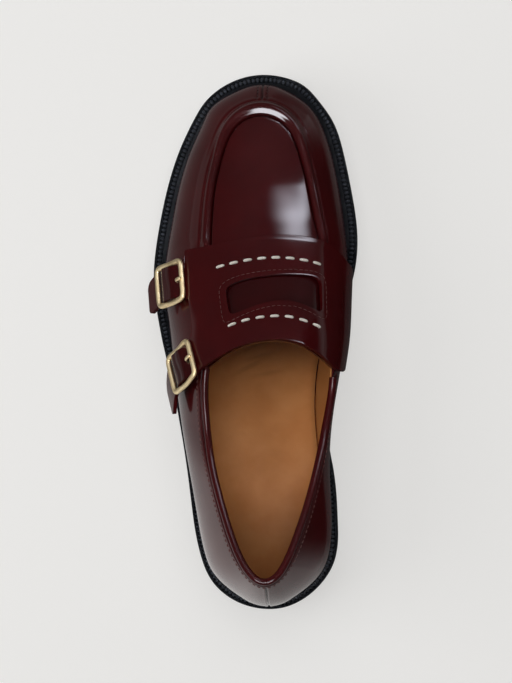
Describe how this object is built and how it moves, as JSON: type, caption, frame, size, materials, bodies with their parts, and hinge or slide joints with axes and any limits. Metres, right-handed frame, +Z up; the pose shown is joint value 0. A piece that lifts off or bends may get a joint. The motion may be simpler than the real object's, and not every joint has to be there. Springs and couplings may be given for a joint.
{
  "type": "double buckle loafer",
  "caption": "Low leather loafer, left shoe, with an apron toe, a slotted saddle over the instep, straps and buckles on the outer side, a low block heel and a thick rubber sole.",
  "frame": {"origin": "middle of the whole shoe's box, on the floor", "axes": "+Y along the shoe to the toe, +Z up, +X to the medial side (the buckles are at -X)"},
  "size_m": [0.1048, 0.2698, 0.094],
  "materials": {
    "upper_leather": "burgundy box calf, brushed off to a high gloss",
    "sock_leather": "plain vegetable tanned tan leather, satin",
    "sole_edge": "black edge dressing on the welt, midsole and heel",
    "rubber_sole": "moulded black rubber, matte",
    "buckle_metal": "pale gold plate, polished"
  },
  "bodies": {
    "root": {"outsole": "rubber_sole", "top_lift": "rubber_sole", "heel_block": "sole_edge", "midsole": "sole_edge", "welt": "sole_edge", "insole": "sock_leather", "upper": "upper_leather", "saddle": "upper_leather", "front_strap": "upper_leather", "rear_strap": "upper_leather", "front_chape": "upper_leather", "rear_chape": "upper_leather", "front_buckle": "buckle_metal", "rear_buckle": "buckle_metal", "front_prong": "buckle_metal", "rear_prong": "buckle_metal"}
  },
  "joints": []
}
